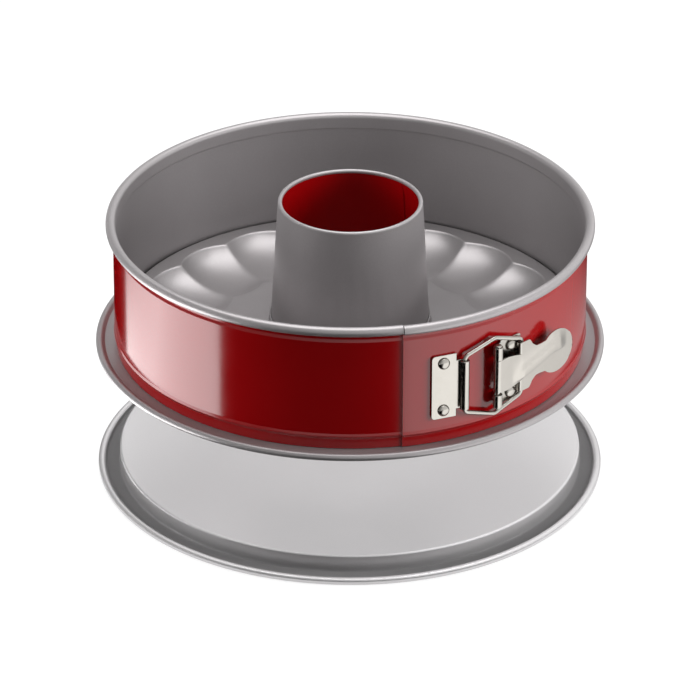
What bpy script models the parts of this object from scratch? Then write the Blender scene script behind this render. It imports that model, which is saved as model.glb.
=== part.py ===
"""Savarin mould: a latched springform ring, a fluted base with a centre tube, and a spare flat base.

The pan stands apart above its flat base, as the set is shown. Lengths are in metres, +Z is up, the
latch is at the front (-Y) on the right (+X), and the origin is under the centre of the flat base.
"""

import math

import bmesh
import bpy
from mathutils import Matrix, Vector

MM = 0.001

# Clearances
FIT = 0.3 * MM              # between pieces that touch
LAP_GAP = 0.2 * MM          # between the two layers of the band at its lap

# Ring band: coated spring steel, rolled over at the rim
RING_INNER_R = 125.0 * MM
RING_SHEET = 0.6 * MM
RING_HEIGHT = 71.7 * MM     # from its lower edge to the top of the rim
RIM_BEAD_R = 2.6 * MM
PANEL_RISE = 0.8 * MM       # how far the wide middle panel stands out
RIDGE_Z = 8.6 * MM          # lower edge of the panel, above the base's flange
SHOULDER_DROP = 9.8 * MM    # from the top of the rim down to the upper edge of the panel
STEP_HEIGHT = 2.0 * MM      # height of the slope at both edges of the panel
LAP_START = 12.4            # degrees from the front to the free edge of the outer layer
LAP_LENGTH = 5.6            # degrees that the plain inner end runs on under it
LAP_EASE = (50.0, 77.0)     # degrees over which the outer layer comes back to the circle

# Both bases: a raised plate inside a flange with a rolled edge
BASE_SHEET = 0.8 * MM
PLATE_HEIGHT = 9.6 * MM     # plate above the flange
PLATE_FILLET = 1.2 * MM
FLANGE_WIDTH = 7.0 * MM     # from the plate's wall to the slope of the bead
BEAD_OFFSET = 2.8 * MM      # from there to the middle of the bead
BEAD_R = 2.0 * MM
STAND_WIDTH = 1.6 * MM      # flat under the bead that the base stands on

# Fluted base
FLUTES = 20
FLUTE_TURN = 1.6            # degrees from +X to the first ridge
ANNULUS_HEIGHT = 1.0 * MM   # flat floor round the tube, above the flange
FLUTE_CENTRE_R = 85.0 * MM  # centre of the ellipsoid that presses a flute
FLUTE_HALF_LENGTH = 34.2 * MM
FLUTE_HALF_WIDTH = 31.3 * MM
FLUTE_HALF_DEPTH = 15.8 * MM
FLUTE_BOTTOM = -0.5 * MM    # lowest point of a flute, from the flange
COLLAR_HEIGHT = 14.5 * MM   # neck round the foot of the tube
COLLAR_FILLET = 1.6 * MM

# Centre tube
TUBE_SHEET = 0.7 * MM
TUBE_FOOT_R = 43.2 * MM     # outside, at the flange's level
TUBE_TAPER = 0.0565         # radius lost for each unit of height
TUBE_TOP = 80.4 * MM        # centre of its rolled rim
TUBE_BEAD_R = 0.95 * MM
TUBE_FLANGE = 3.3 * MM      # width of the foot under the base

# Latch
LATCH_Z = 33.1 * MM         # middle of the latch, above the flange
PLATE_SHEET = 1.0 * MM
FITTING_WIDTH = 13.4 * MM
FITTING_HEIGHT = 36.8 * MM
FITTING_CORNER = 2.0 * MM
RIVET_SPACING = 27.4 * MM
RIVET_SHANK_R = 1.5 * MM
RIVET_HEAD_R = 3.2 * MM
RIVET_HEAD_H = 1.7 * MM
RIVET_TAIL_R = 2.6 * MM
RIVET_TAIL_H = 0.8 * MM
ROLL_OFFSET = 4.3 * MM      # from the plate's edge to the axis that the edge is rolled round
KNUCKLE_HEIGHT = 28.2 * MM
HINGE_AXIS = 27.1           # degrees from the front to the bail's hinge
WIRE_R = 1.2 * MM
WIRE_PLACES = (             # distance along the wall from the hinge, distance outside it, half height
    (0.0, 3.0 * MM, 16.3 * MM),
    (18.0 * MM, 2.9 * MM, 22.3 * MM),
    (35.5 * MM, 3.1 * MM, 16.0 * MM),
)
WIRE_BEND_R = 3.2 * MM
PIN_DISTANCE = 18.65 * MM   # along the wall, from the hinge to the lever's pin
PIN_AXIS_RISE = 4.9 * MM
PIN_HEAD_R = 1.9 * MM
PIN_HEAD_H = 0.7 * MM
LEVER_SHEET = 0.8 * MM
LEVER_BASE_HALF = 9.3 * MM
LEVER_PLAY = 0.7 * MM       # the lever rests this far above the middle of its pin
LEVER_BODY = (              # distance from the pin, half height there; the hooks are the fourth and fifth
    (5.0 * MM, 9.6 * MM), (10.0 * MM, 8.8 * MM), (15.0 * MM, 7.5 * MM),
    (15.6 * MM, 14.2 * MM), (22.2 * MM, 14.2 * MM),
    (24.4 * MM, 10.8 * MM), (27.0 * MM, 9.1 * MM), (30.0 * MM, 9.2 * MM),
)
LEVER_LIP = 1.9 * MM        # depth of the hooks that hold the wire
THUMB_R = 12.9 * MM
THUMB_REACH = 41.2 * MM     # from the pin to the middle of the thumb plate
LUG_END = 17.5 * MM         # half height of the bracket's lugs
RIB_HEIGHT = 0.8 * MM
RIB_START = 5.0 * MM        # from the pin
RIB_RUN_IN = 10.0 * MM      # length over which the rib rises
RIB_RUN_OUT = 6.0 * MM
RIB_PAST_THUMB = 8.0 * MM   # where it ends, beyond the middle of the thumb plate

# The fluted pan stands this far above the flat base in the set
PAN_LIFT = 74.0 * MM

BASE_STEPS = 80             # facets round a base, four for each flute
TUBE_STEPS = 48
BAND_STEP = 5.0             # degrees between two sections of the band

# Levels and radii that follow from the values above
FLAT_Z = BEAD_R
PAN_Z = FLAT_Z + PAN_LIFT
LATCH_LEVEL = PAN_Z + LATCH_Z
PLATE_R = RING_INNER_R - FIT
FLANGE_R = PLATE_R + FLANGE_WIDTH
BEAD_RING_R = FLANGE_R + BEAD_OFFSET
BAND_MID_R = RING_INNER_R + RING_SHEET / 2
LAP_RISE = RING_SHEET + LAP_GAP
WALL_R = RING_INNER_R + PANEL_RISE + RING_SHEET + LAP_RISE
HINGE_R = WALL_R + WIRE_PLACES[0][1]
PIN_AXIS = HINGE_AXIS + math.degrees(PIN_DISTANCE / WALL_R)
PIN_AXIS_R = WALL_R + PIN_AXIS_RISE
PIN_R = WIRE_R
ROLL_IN = WIRE_R + FIT
SHOULDER_Z = FIT + RING_HEIGHT - SHOULDER_DROP
BEAD_TOP_R = RING_INNER_R + RIM_BEAD_R
BEAD_TOP_Z = FIT + RING_HEIGHT - RIM_BEAD_R


def empty_scene():
    for old in list(bpy.data.objects):
        bpy.data.objects.remove(old, do_unlink=True)


empty_scene()
parts = bpy.data.collections.new("savarin_mould")
cutters = bpy.data.collections.new("cutters")
for made in (parts, cutters):
    bpy.context.scene.collection.children.link(made)


def paint(name, colour, roughness, metallic):
    material = bpy.data.materials.new(name)
    material.use_nodes = True
    shader = material.node_tree.nodes["Principled BSDF"]
    shader.inputs["Base Color"].default_value = (*colour, 1.0)
    shader.inputs["Roughness"].default_value = roughness
    shader.inputs["Metallic"].default_value = metallic
    return material


def polar(radius, degrees, z):
    """A point at an angle measured from the front (-Y) towards +X."""
    turn = math.radians(degrees)
    return Vector((radius * math.sin(turn), -radius * math.cos(turn), z))


def wire_corner(place):
    """One upper corner of the bail, in the plane of the latch's middle."""
    distance, rise, half_height = place
    return polar(WALL_R + rise, HINGE_AXIS + math.degrees(distance / WALL_R), half_height)


def arc(centre, radius, start, end, pieces):
    """Points of an arc in a profile, between two angles in degrees."""
    points = []
    for k in range(pieces + 1):
        turn = math.radians(start + (end - start) * k / pieces)
        points.append((centre[0] + radius * math.cos(turn), centre[1] + radius * math.sin(turn)))
    return points


def add_object(name, data, material, collection=None):
    piece = bpy.data.objects.new(name, data)
    (collection or parts).objects.link(piece)
    if material is not None:
        data.materials.append(material)
    return piece


def mesh_object(name, bm, material, smooth=True, collection=None):
    bmesh.ops.recalc_face_normals(bm, faces=bm.faces)
    mesh = bpy.data.meshes.new(name)
    bm.to_mesh(mesh)
    bm.free()
    if smooth:
        mesh.shade_smooth()
        mesh.set_sharp_from_angle(angle=math.radians(35))
    return add_object(name, mesh, material, collection)


def turned(name, profile, material, steps, closed, collection=None):
    """A profile of (radius, height) points, turned about Z with a Screw modifier."""
    mesh = bpy.data.meshes.new(name)
    count = len(profile)
    edges = [(k, k + 1) for k in range(count - 1)]
    if closed:
        edges.append((count - 1, 0))
    mesh.from_pydata([(r, 0.0, z) for r, z in profile], edges, [])
    piece = add_object(name, mesh, material, collection)
    screw = piece.modifiers.new("Turn", "SCREW")
    screw.axis = "Z"
    screw.angle = math.tau
    screw.steps = steps
    screw.render_steps = steps
    screw.use_merge_vertices = True
    screw.merge_threshold = 0.00001
    screw.use_smooth_shade = True
    return piece


def loft(bm, sections, around_closed):
    """Quads between sections that are closed loops of points; ends are capped unless the loft closes."""
    rings = [[bm.verts.new(point) for point in section] for section in sections]
    count = len(rings[0])
    pairs = list(zip(rings, rings[1:]))
    if around_closed:
        pairs.append((rings[-1], rings[0]))
    for first, second in pairs:
        for k in range(count):
            after = (k + 1) % count
            bm.faces.new((first[k], first[after], second[after], second[k]))
    if not around_closed:
        bm.faces.new(rings[0])
        bm.faces.new(rings[-1])


def cut(piece, cutter, operation="DIFFERENCE"):
    cutter.hide_render = True
    cutter.display_type = "WIRE"
    boolean = piece.modifiers.new(operation.title(), "BOOLEAN")
    boolean.operation = operation
    boolean.object = cutter


def cylinder_cutter(name, radius, centre, direction, length):
    bm = bmesh.new()
    bmesh.ops.create_cone(bm, cap_ends=True, segments=12, radius1=radius, radius2=radius, depth=length)
    cutter = mesh_object(name, bm, None, collection=cutters)
    cutter.matrix_world = Matrix.Translation(centre) @ direction.to_track_quat("Z", "Y").to_matrix().to_4x4()
    return cutter


red_enamel = paint("red_coating", (0.145, 0.002, 0.003), 0.22, 0.0)
grey_coating = paint("grey_nonstick", (0.30, 0.28, 0.28), 0.38, 0.75)
pale_coating = paint("pale_nonstick", (0.52, 0.51, 0.52), 0.42, 0.6)
zinc_steel = paint("latch_steel", (0.78, 0.76, 0.72), 0.28, 1.0)


# Flat base and fluted base share the flange and its rolled edge

def flange_outline():
    """Upper side of the flange and bead, from the foot of the plate's wall to the flange's underside."""
    bead = arc((BEAD_RING_R, 0.0), BEAD_R, 135.0, -45.0, 4)
    inner = BEAD_RING_R - STAND_WIDTH / 2
    stand = [(BEAD_RING_R + STAND_WIDTH / 2, -BEAD_R), (inner, -BEAD_R)]
    under = [(FLANGE_R + BASE_SHEET, -BASE_SHEET)]
    return [(PLATE_R, 0.0), (FLANGE_R, 0.0)] + bead + stand + under


def plate_edge(height):
    """Rounded outer edge of the raised plate."""
    centre = (PLATE_R - PLATE_FILLET, height - PLATE_FILLET)
    return arc(centre, PLATE_FILLET, 90.0, 0.0, 2)


def raised(profile, level):
    return [(r, z + level) for r, z in profile]


def make_flat_base():
    inner = PLATE_R - BASE_SHEET
    profile = [(0.0, PLATE_HEIGHT)] + plate_edge(PLATE_HEIGHT) + flange_outline()
    profile += [(inner, -BASE_SHEET), (inner, PLATE_HEIGHT - BASE_SHEET), (0.0, PLATE_HEIGHT - BASE_SHEET)]
    return turned("flat_base", raised(profile, FLAT_Z), pale_coating, BASE_STEPS, closed=False)


# Fluted base: twenty ellipsoid hollows pressed into the slope between the rim of the plate and the floor

FLUTE_TOP = FLUTE_BOTTOM + FLUTE_HALF_DEPTH


def flute_reach(off_centre, level, outer):
    """Radius at which a flute meets a level, at an angle from its middle line."""
    lateral = math.sin(off_centre) ** 2 / FLUTE_HALF_WIDTH ** 2
    along = math.cos(off_centre) ** 2 / FLUTE_HALF_LENGTH ** 2
    middle = FLUTE_CENTRE_R * math.cos(off_centre) / FLUTE_HALF_LENGTH ** 2
    room = 1.0 - ((FLUTE_TOP - level) / FLUTE_HALF_DEPTH) ** 2
    rest = FLUTE_CENTRE_R ** 2 / FLUTE_HALF_LENGTH ** 2 - room
    root = math.sqrt(max(0.0, middle ** 2 - (along + lateral) * rest))
    return (middle + (root if outer else -root)) / (along + lateral)


def flute_level(radius, off_centre):
    """Height of the flute's surface."""
    along = (radius * math.cos(off_centre) - FLUTE_CENTRE_R) / FLUTE_HALF_LENGTH
    lateral = radius * math.sin(off_centre) / FLUTE_HALF_WIDTH
    return FLUTE_TOP - FLUTE_HALF_DEPTH * math.sqrt(max(0.0, 1.0 - along ** 2 - lateral ** 2))


def tube_radius(height):
    """Outside of the tube at a height above the flange."""
    return TUBE_FOOT_R - TUBE_TAPER * height


def fluted_section(degrees):
    """The closed section of the fluted base at one angle, as (radius, height) points."""
    pitch = 360.0 / FLUTES
    off_centre = math.radians((degrees - FLUTE_TURN) % pitch - pitch / 2)
    near = flute_reach(off_centre, ANNULUS_HEIGHT, outer=False)
    far = flute_reach(off_centre, PLATE_HEIGHT, outer=True)
    shares = (0.0, 0.10, 0.26, 0.46, 0.66, 0.84, 0.95, 1.0)
    pressed = []
    for share in shares:
        radius = near + (far - near) * share
        pressed.append((radius, flute_level(radius, off_centre)))
    pressed[0] = (near, ANNULUS_HEIGHT)
    pressed[-1] = (far, PLATE_HEIGHT)
    neck = tube_radius(COLLAR_HEIGHT) + FIT
    foot = tube_radius(ANNULUS_HEIGHT) + FIT
    sheet = BASE_SHEET
    upper = [
        (neck + sheet, COLLAR_HEIGHT),
        (foot + sheet, ANNULUS_HEIGHT + COLLAR_FILLET),
        (foot + sheet + COLLAR_FILLET, ANNULUS_HEIGHT),
    ]
    lower = [(radius, level - sheet) for radius, level in reversed(pressed)]
    inner = PLATE_R - sheet
    lower = [(inner, -sheet), (inner, PLATE_HEIGHT - sheet)] + lower
    lower += [(foot + COLLAR_FILLET, ANNULUS_HEIGHT - sheet), (foot, ANNULUS_HEIGHT + COLLAR_FILLET - sheet)]
    lower += [(neck, COLLAR_HEIGHT)]
    return raised(upper + pressed + plate_edge(PLATE_HEIGHT) + flange_outline() + lower, PAN_Z)


def make_savarin_base():
    bm = bmesh.new()
    sections = []
    for k in range(BASE_STEPS):
        degrees = FLUTE_TURN + 360.0 * k / BASE_STEPS
        turn = math.radians(degrees)
        section = fluted_section(degrees)
        sections.append([(r * math.cos(turn), r * math.sin(turn), z) for r, z in section])
    loft(bm, sections, around_closed=True)
    return mesh_object("savarin_base", bm, grey_coating)


# Centre tube: tapered, rolled at the top, pushed up through the collar until its foot meets the base

def make_centre_tube():
    middle = tube_radius(TUBE_TOP) - TUBE_SHEET / 2
    top = TUBE_TOP - TUBE_BEAD_R * 0.8
    foot_top = ANNULUS_HEIGHT - BASE_SHEET - FIT
    foot_low = foot_top - BASE_SHEET
    profile = arc((middle, TUBE_TOP), TUBE_BEAD_R, 210.0, -30.0, 6)
    profile += [
        (tube_radius(top), top - TUBE_SHEET / 2),
        (tube_radius(foot_top), foot_top),
        (tube_radius(foot_top) + TUBE_FLANGE, foot_top),
        (tube_radius(foot_top) + TUBE_FLANGE, foot_low),
        (tube_radius(foot_low) - TUBE_SHEET, foot_low),
        (tube_radius(top) - TUBE_SHEET, top - TUBE_SHEET / 2),
    ]
    return turned("centre_tube", raised(profile, PAN_Z), grey_coating, TUBE_STEPS, closed=True)


# Ring band: one strip rolled into a circle, its outer end lapped over the plain inner end

def wall_outline(side, trim=0.0):
    """One face of the band's wall from the bottom up: side is -1 inside and +1 outside."""
    face = BAND_MID_R + side * (RING_SHEET / 2 - trim)
    bulge = face + PANEL_RISE
    low = FIT
    return [
        (face, low),
        (face, RIDGE_Z - STEP_HEIGHT),
        (bulge, RIDGE_Z),
        (bulge, SHOULDER_Z),
        (face, SHOULDER_Z + STEP_HEIGHT),
    ]


def band_section():
    """The closed section of the band: up the inside, over the rim bead and down the outside."""
    bead = arc((BEAD_TOP_R, BEAD_TOP_Z), RIM_BEAD_R, 180.0, -135.0, 7)
    return wall_outline(-1) + bead + list(reversed(wall_outline(1)))


def band_rise(degrees):
    """How far the band runs outside its circle, so that its outer end clears the lapped one."""
    start, end = LAP_EASE
    share = min(max((degrees - start) / (end - start), 0.0), 1.0)
    return LAP_RISE * (1.0 - share * share * (3.0 - 2.0 * share))


def band_sections(outline, angles):
    sections = []
    for degrees in angles:
        rise = band_rise(degrees)
        sections.append([polar(r + rise, degrees, z) for r, z in raised(outline, PAN_Z)])
    return sections


def make_ring_band():
    first = math.ceil((LAP_START + 1.0) / BAND_STEP)
    turns = [BAND_STEP * k for k in range(first, round(360.0 / BAND_STEP) + first - 1)]
    gap = math.degrees(FIT / BEAD_TOP_R)
    end = 360.0 + LAP_START - gap
    bm = bmesh.new()
    loft(bm, band_sections(band_section(), [LAP_START] + turns + [end]), around_closed=False)
    band = mesh_object("ring_band", bm, red_enamel)

    trim = 0.05 * MM
    top = (BAND_MID_R, BEAD_TOP_Z - RIM_BEAD_R)
    tongue = wall_outline(-1, trim) + [(BAND_MID_R - RING_SHEET / 2 + trim, top[1])]
    tongue += [(BAND_MID_R + RING_SHEET / 2 - trim, top[1])] + list(reversed(wall_outline(1, trim)))
    tongue_turns = [end - 1.0, end + LAP_LENGTH / 2, end + LAP_LENGTH]
    bm = bmesh.new()
    loft(bm, band_sections(tongue, tongue_turns), around_closed=False)
    cut(band, mesh_object("inner_end", bm, None, collection=cutters), "UNION")
    return band


# Latch fittings: a plate on each side, with a rolled knuckle for the bail or two lugs for the lever's pin

def placed(piece, degrees):
    """Turns a piece from its drawing frame, X along the wall and Y outwards, to its place on the wall."""
    turn = math.radians(degrees)
    along = Vector((math.cos(turn), math.sin(turn), 0.0))
    outward = Vector((math.sin(turn), -math.cos(turn), 0.0))
    up = Vector((0.0, 0.0, 1.0))
    frame = Matrix((along, outward, up)).transposed().to_4x4()
    piece.matrix_world = Matrix.Translation((0.0, 0.0, LATCH_LEVEL)) @ frame
    return piece


def plate_angle(axis_angle, side):
    """Angle of a fitting's rivet line, from the angle of its rolled edge."""
    offset = math.degrees((FITTING_WIDTH / 2 + ROLL_OFFSET) / WALL_R)
    return axis_angle - side * offset


def fitting(name, axis_angle, axis_r, side, roll_spans):
    """A riveted plate whose edge is rolled round an axis; side is the way it faces along the wall."""
    middle = plate_angle(axis_angle, side)
    turn = math.radians(axis_angle - middle)
    axis = (axis_r * math.sin(turn), axis_r * math.cos(turn))
    low = WALL_R + FIT
    high = low + PLATE_SHEET
    reach = side * FITTING_WIDTH / 2
    bend = axis[0] - side * (ROLL_IN + PLATE_SHEET)
    outer = arc(axis, ROLL_IN + PLATE_SHEET, 270.0, 270.0 + side * 280.0, 9)
    inner = arc(axis, ROLL_IN, 270.0 + side * 280.0, 270.0, 9)
    outline = [(-reach, high), (-reach, low), (reach, low)]
    outline += outer + inner + [(bend, high), (reach, high)]
    bm = bmesh.new()
    half = FITTING_HEIGHT / 2
    loft(bm, [[(x, y, -half) for x, y in outline], [(x, y, half) for x, y in outline]], around_closed=False)
    corners = [
        edge for edge in bm.edges
        if all(abs(vert.co.x + reach) < 1e-7 for vert in edge.verts)
        and abs(edge.verts[0].co.z - edge.verts[1].co.z) < 1e-7
    ]
    bmesh.ops.bevel(bm, geom=corners, offset=FITTING_CORNER, segments=3, affect="EDGES", profile=0.5)
    plate = placed(mesh_object(name, bm, zinc_steel), middle)

    for number, (start, end) in enumerate(roll_spans):
        bm = bmesh.new()
        bmesh.ops.create_cube(bm, size=1.0)
        block = mesh_object(f"{name}_notch_{number}", bm, None, smooth=False, collection=cutters)
        placed(block, middle)
        wide = 4 * (ROLL_IN + PLATE_SHEET)
        centre = Vector((reach + side * (wide / 2 + 0.4 * MM), axis[1], (start + end) / 2))
        size = Matrix.Diagonal((wide, wide, end - start, 1.0))
        block.matrix_world = block.matrix_world @ Matrix.Translation(centre) @ size
        cut(plate, block)
    return plate


def rivet_places(axis_angle, side):
    middle = plate_angle(axis_angle, side)
    return [(middle, LATCH_LEVEL + RIVET_SPACING / 2), (middle, LATCH_LEVEL - RIVET_SPACING / 2)]


def make_rivet(name, degrees, level, inner_wall):
    """A domed rivet: head outside the plate, shank through both, tail pressed flat inside the band."""
    head = WALL_R + FIT + PLATE_SHEET + FIT
    tail = inner_wall - FIT
    dome = arc((0.0, 0.0), 1.0, 90.0, 0.0, 4)
    profile = [(x * RIVET_HEAD_R, head + y * RIVET_HEAD_H) for x, y in dome]
    profile[0] = (0.0, head + RIVET_HEAD_H)
    profile += [(RIVET_SHANK_R, head), (RIVET_SHANK_R, tail), (RIVET_TAIL_R, tail)]
    profile += [(RIVET_TAIL_R * 0.85, tail - RIVET_TAIL_H), (0.0, tail - RIVET_TAIL_H)]
    rivet = turned(name, profile, zinc_steel, 14, closed=False)
    outward = polar(1.0, degrees, 0.0)
    turn = outward.to_track_quat("Z", "X").to_matrix().to_4x4()
    rivet.matrix_world = Matrix.Translation((0.0, 0.0, level)) @ turn
    return rivet


def make_fittings(band):
    half = FITTING_HEIGHT / 2 + MM
    roll = KNUCKLE_HEIGHT / 2
    hinge = fitting("hinge_plate", HINGE_AXIS, HINGE_R, 1, [(roll, half), (-half, -roll)])
    base = LEVER_BASE_HALF + LEVER_PLAY + FIT
    bracket = fitting(
        "lever_bracket", PIN_AXIS, PIN_AXIS_R, -1, [(LUG_END, half), (-base, base), (-half, -LUG_END)]
    )
    inner_wall = WALL_R - RING_SHEET
    for plate, stem, angle, side in ((hinge, "hinge", HINGE_AXIS, 1), (bracket, "bracket", PIN_AXIS, -1)):
        for word, (degrees, level) in zip(("upper", "lower"), rivet_places(angle, side)):
            make_rivet(f"{stem}_rivet_{word}", degrees, level, inner_wall)
            hole = cylinder_cutter(
                f"{stem}_hole_{word}", RIVET_SHANK_R + FIT, polar(WALL_R, degrees, level),
                polar(1.0, degrees, 0.0), 12 * PLATE_SHEET,
            )
            cut(plate, hole)
            cut(band, hole)


# Wire bail: a closed wire with six rounded corners, one side inside the hinge knuckle

def rounded(corners, radius, pieces):
    """Points of a closed outline with its corners rounded."""
    points = []
    count = len(corners)
    for k, corner in enumerate(corners):
        here = Vector(corner)
        back = (Vector(corners[k - 1]) - here).normalized()
        ahead = (Vector(corners[(k + 1) % count]) - here).normalized()
        half = back.angle(ahead) / 2
        start = here + back * (radius / math.tan(half))
        end = here + ahead * (radius / math.tan(half))
        centre = here + (back + ahead).normalized() * (radius / math.sin(half))
        for step in range(pieces + 1):
            mixed = start.lerp(end, step / pieces) - centre
            points.append(centre + mixed.normalized() * radius)
    return points


def make_wire_bail():
    half = [wire_corner(place) for place in WIRE_PLACES]
    corners = half + [Vector((point.x, point.y, -point.z)) for point in reversed(half)]
    points = rounded(corners, WIRE_BEND_R, 3)
    curve = bpy.data.curves.new("wire_bail", "CURVE")
    curve.dimensions = "3D"
    curve.bevel_depth = WIRE_R
    curve.bevel_resolution = 2
    curve.resolution_u = 1
    spline = curve.splines.new("POLY")
    spline.points.add(len(points) - 1)
    hinge = polar(HINGE_R, HINGE_AXIS, 0.0)
    for point, place in zip(spline.points, points):
        point.co = (*(place - hinge), 1.0)
    spline.use_cyclic_u = True
    bail = add_object("wire_bail", curve, zinc_steel)
    bail.location = polar(HINGE_R, HINGE_AXIS, LATCH_LEVEL)
    return bail


# Lever: one flat stamping, rolled round its pin, with two hooks for the wire and a thumb plate

def thumb_half(reach):
    return math.sqrt(THUMB_R ** 2 - (reach - THUMB_REACH) ** 2)


def lever_outline():
    """Distances from the pin, with half the lever's height there."""
    outline = list(LEVER_BODY)
    for turn in (130, 111, 92, 73, 54, 36, 20, 7):
        reach = THUMB_REACH + THUMB_R * math.cos(math.radians(turn))
        outline.append((reach, thumb_half(reach)))
    return outline


def lever_rib(reach):
    """Height of the rib that is pressed along the lever's middle line."""
    rising = min(max((reach - RIB_START) / RIB_RUN_IN, 0.0), 1.0)
    falling = min(max((THUMB_REACH + RIB_PAST_THUMB - reach) / RIB_RUN_OUT, 0.0), 1.0)
    return RIB_HEIGHT * rising * falling


def make_lever():
    roll = PIN_R + FIT + LEVER_SHEET / 2
    curl = [(roll * math.cos(t), roll * math.sin(t)) for t in map(math.radians, range(330, 80, -40))]
    columns = [(place, LEVER_BASE_HALF, 0.0) for place in curl]
    columns += [((reach, roll), half, reach) for reach, half in lever_outline()]
    narrow = (-1.0, -0.31, 0.0, 0.31, 1.0)
    wide = (-1.0, -0.528, -0.17, 0.0, 0.17, 0.528, 1.0)
    hook = len(curl) + 3
    bm = bmesh.new()
    rows = []
    for number, ((x, y), half, reach) in enumerate(columns):
        shares = narrow if number < hook else wide
        rib = lever_rib(reach)
        rows.append([bm.verts.new((x, y + (rib if s == 0.0 else 0.0), s * half)) for s in shares])
    for number, (first, second) in enumerate(zip(rows, rows[1:])):
        if number == hook - 1:
            second = second[1:-1]
        for k in range(len(first) - 1):
            bm.faces.new((first[k], first[k + 1], second[k + 1], second[k]))
    for edge in (rows[hook][:2], rows[hook][-2:]):
        tips = [bm.verts.new(vert.co - Vector((0.0, LEVER_LIP, 0.0))) for vert in edge]
        bm.faces.new((edge[0], edge[1], tips[1], tips[0]))
    lever = mesh_object("lever", bm, zinc_steel)
    shell = lever.modifiers.new("Sheet", "SOLIDIFY")
    shell.thickness = LEVER_SHEET
    shell.offset = 0.0
    shell.use_even_offset = True
    pin = polar(PIN_AXIS_R, PIN_AXIS, 0.0)
    wire = wire_corner(WIRE_PLACES[2])
    along = Vector((wire.x - pin.x, wire.y - pin.y, 0.0)).normalized()
    outward = Vector((along.y, -along.x, 0.0))
    frame = Matrix((along, outward, Vector((0.0, 0.0, 1.0)))).transposed().to_4x4()
    lever.matrix_world = Matrix.Translation(pin + Vector((0.0, 0.0, LATCH_LEVEL + LEVER_PLAY))) @ frame
    return lever


def make_lever_pin():
    end = LUG_END + FIT
    top = end + PIN_HEAD_H
    head = [(0.0, top), (PIN_HEAD_R * 0.7, top), (PIN_HEAD_R, end + PIN_HEAD_H / 2), (PIN_HEAD_R, end)]
    half = head + [(PIN_R, end)]
    profile = half + [(r, -z) for r, z in reversed(half)]
    pin = turned("lever_pin", profile, zinc_steel, 14, closed=False)
    pin.location = polar(PIN_AXIS_R, PIN_AXIS, LATCH_LEVEL)
    return pin


make_flat_base()
make_savarin_base()
make_centre_tube()
make_fittings(make_ring_band())
make_wire_bail()
make_lever()
make_lever_pin()
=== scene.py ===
"""The looks of a savarin mould: a latched red springform ring on a fluted base, and a spare flat base below.

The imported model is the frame. Every piece of sheet or wire is drawn again over its node, with the rounded
edges and soft steps of pressed metal, and rides on the node's body. Lengths are in metres, +Z is up.
"""

import math

import bmesh
import bpy
from mathutils import Matrix, Vector


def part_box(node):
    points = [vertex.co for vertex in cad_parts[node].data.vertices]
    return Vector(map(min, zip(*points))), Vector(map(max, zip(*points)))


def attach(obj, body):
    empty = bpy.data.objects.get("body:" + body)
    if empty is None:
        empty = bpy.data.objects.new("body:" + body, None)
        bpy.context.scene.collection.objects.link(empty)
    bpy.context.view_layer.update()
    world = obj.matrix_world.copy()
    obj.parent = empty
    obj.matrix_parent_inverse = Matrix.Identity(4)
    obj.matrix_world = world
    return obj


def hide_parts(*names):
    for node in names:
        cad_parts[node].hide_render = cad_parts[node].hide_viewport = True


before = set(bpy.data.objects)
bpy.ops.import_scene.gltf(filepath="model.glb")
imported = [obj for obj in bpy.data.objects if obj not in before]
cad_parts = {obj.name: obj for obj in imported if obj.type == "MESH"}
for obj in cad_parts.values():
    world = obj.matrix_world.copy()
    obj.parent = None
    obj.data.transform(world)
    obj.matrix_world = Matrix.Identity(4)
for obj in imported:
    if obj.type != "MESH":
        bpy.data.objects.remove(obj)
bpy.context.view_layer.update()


# Camera
# The photograph is taken from straight in front with a long lens, looking down about 28 degrees, and its
# frame is cut so that the middle of the fluted base lies a little above the middle of the picture.

MM = 0.001
BEAD_R = 2.0 * MM                # rolled edge of both bases
VIEW_DISTANCE = 3.0
VIEW_ELEVATION = math.radians(27.87)
VIEW_ROLL = math.radians(0.17)
PIXELS_PER_METRE = 1859          # at the fluted base, in the photograph's 700 pixels
PICTURE_SIZE = 700
PICTURE_MIDDLE = 335.7           # pixel row that the camera points at

pan_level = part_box("savarin_base")[0][2] + BEAD_R
target = Vector((0.0, 0.0, pan_level))
sight = Vector((0.0, math.cos(VIEW_ELEVATION), -math.sin(VIEW_ELEVATION)))
camera = bpy.data.objects.new("camera", bpy.data.cameras.new("camera"))
bpy.context.scene.collection.objects.link(camera)
aim = sight.to_track_quat("-Z", "Y").to_matrix().to_4x4() @ Matrix.Rotation(VIEW_ROLL, 4, "Z")
camera.matrix_world = Matrix.Translation(target - sight * VIEW_DISTANCE) @ aim
camera.data.lens = PIXELS_PER_METRE * VIEW_DISTANCE * camera.data.sensor_width / PICTURE_SIZE
camera.data.shift_y = (PICTURE_MIDDLE - PICTURE_SIZE / 2) / PICTURE_SIZE
bpy.context.scene.camera = camera


# Flat base
# A disc of 0.8 mm steel, pressed up in the middle to fill the ring, with its edge rolled to a bead. It has a
# pale satin non-stick coating; the underside, which the photograph hides, is taken to be coated alike.

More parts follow.
